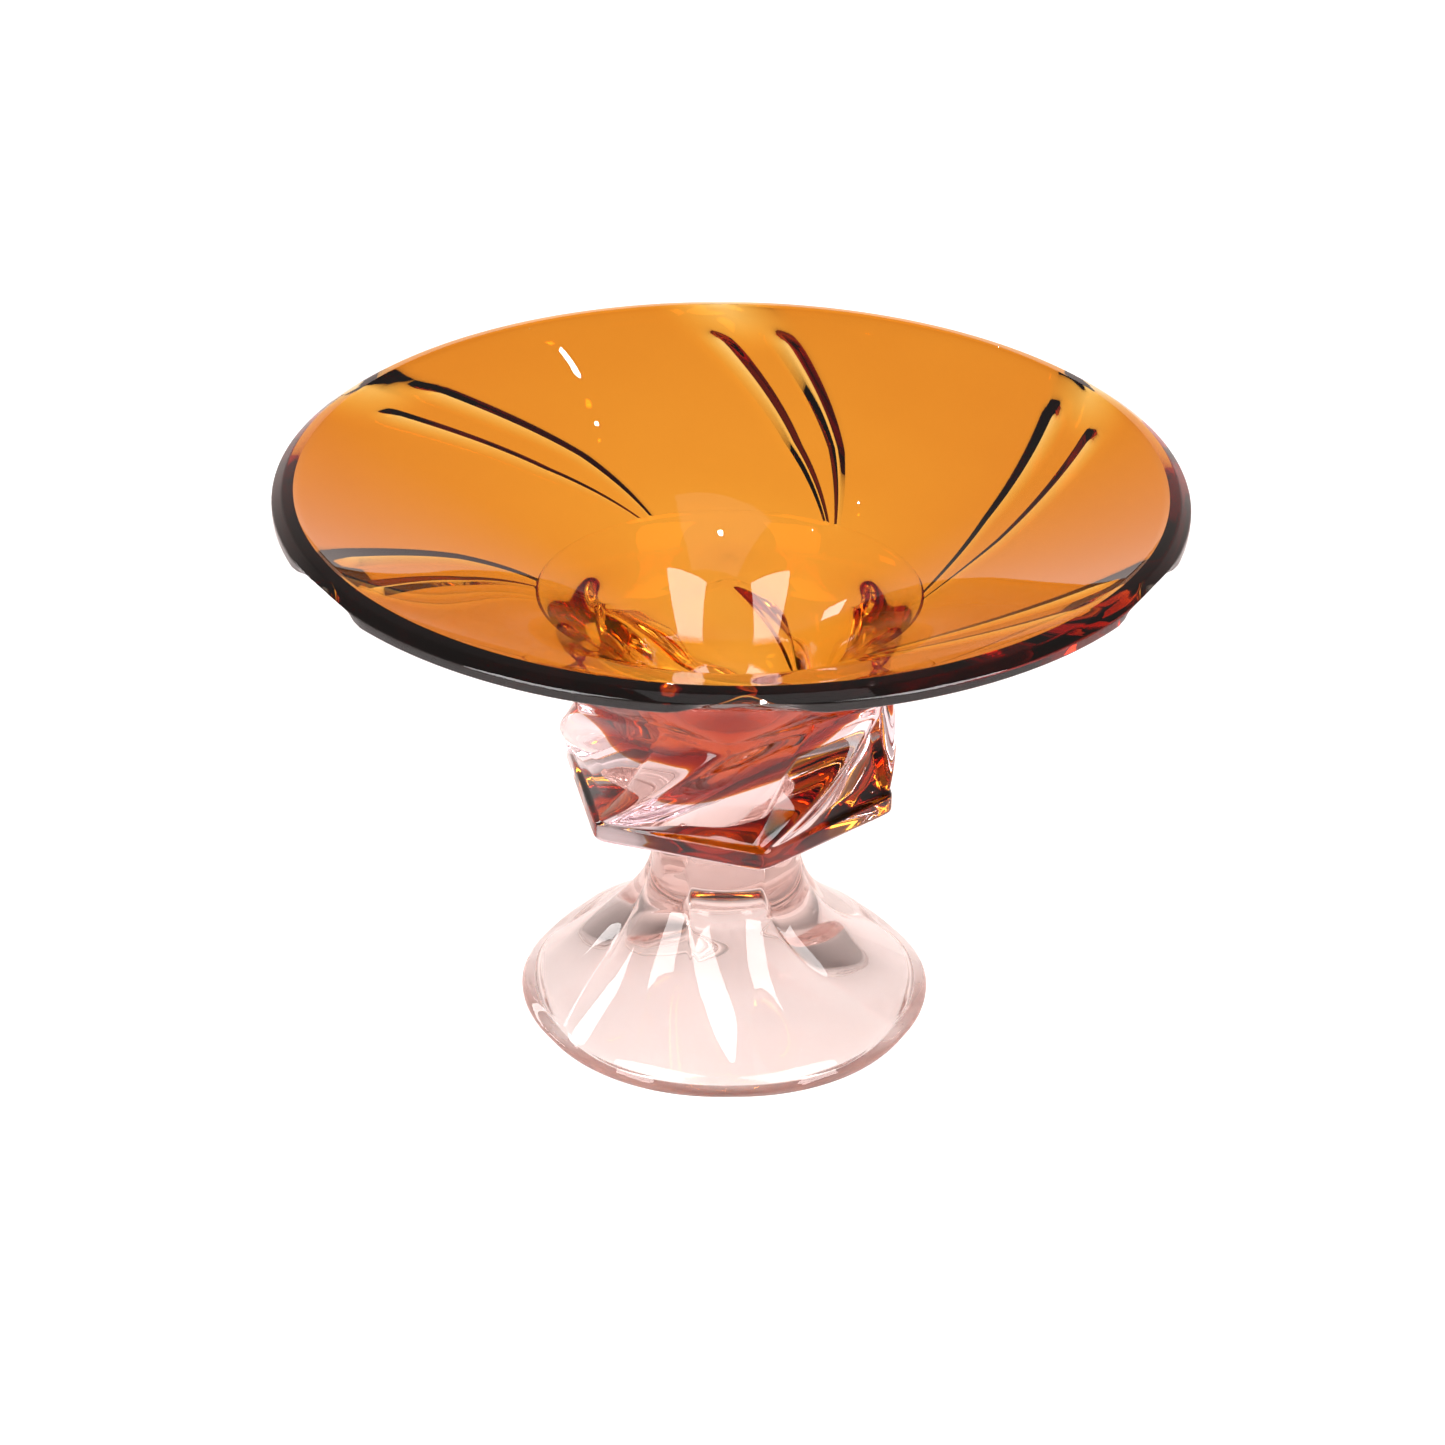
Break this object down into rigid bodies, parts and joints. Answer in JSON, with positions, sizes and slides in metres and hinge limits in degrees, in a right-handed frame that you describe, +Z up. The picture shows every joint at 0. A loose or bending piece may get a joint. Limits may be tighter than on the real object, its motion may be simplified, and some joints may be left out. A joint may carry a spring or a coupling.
{
  "type": "footed art glass bowl",
  "caption": "Flared amber glass bowl with a polished lobed lip and swirled channels outside, set in a clear twisted hexagonal block on a clear swirled foot.",
  "frame": {"origin": "centre of the foot's contact ring, on the surface that the bowl stands on", "axes": "+Z up along the bowl's axis; -Y is the side towards the viewer, with a lip notch 2 degrees from it"},
  "size_m": [0.3998, 0.3988, 0.2643],
  "materials": {
    "amber_glass": "pressed and fire-polished amber glass, ground and polished lip",
    "clear_crystal": "pressed and fire-polished clear crystal with a faint warm tint",
    "clear_adhesive": "clear cured adhesive film"
  },
  "bodies": {
    "root": {"amber_bowl": "amber_glass", "crystal_block": "clear_crystal", "bond_film": "clear_adhesive", "crystal_foot": "clear_crystal"}
  },
  "joints": []
}
